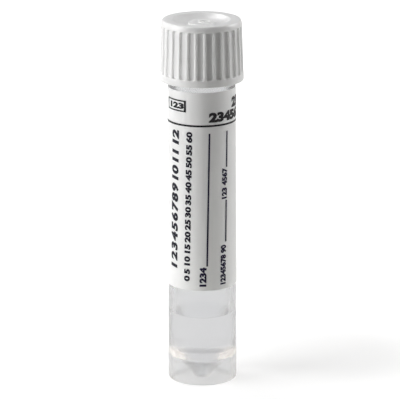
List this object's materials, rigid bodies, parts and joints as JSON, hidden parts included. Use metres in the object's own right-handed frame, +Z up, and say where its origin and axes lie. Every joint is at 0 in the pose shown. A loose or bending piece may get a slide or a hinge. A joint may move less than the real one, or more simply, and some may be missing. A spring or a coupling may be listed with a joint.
{
  "type": "specimen swab tube",
  "caption": "Self-standing screw-cap transport tube with conical inner bottom, liquid medium, paper label with a window at its back and ribbed cap with a swab socket.",
  "frame": {"origin": "centre of the tube's foot, on the bench", "axes": "+Z up the tube's axis, -Y towards the front of the label, +X to the right seen from the front"},
  "size_m": [0.0164, 0.0164, 0.0726],
  "materials": {
    "tube_plastic": "gloss",
    "medium": "gloss",
    "label_paper": "satin",
    "ink": "satin",
    "cap_plastic": "satin"
  },
  "bodies": {
    "tube_body": {"tube": "tube_plastic", "transport_medium": "medium", "label": "label_paper", "label_print": "ink"},
    "cap": {"screw_cap": "cap_plastic"}
  },
  "joints": [
    {"name": "cap_lift", "type": "slide", "parent": "tube_body", "child": "cap", "axis": [0, 0, 1], "range_m": [0, 0.02]}
  ]
}
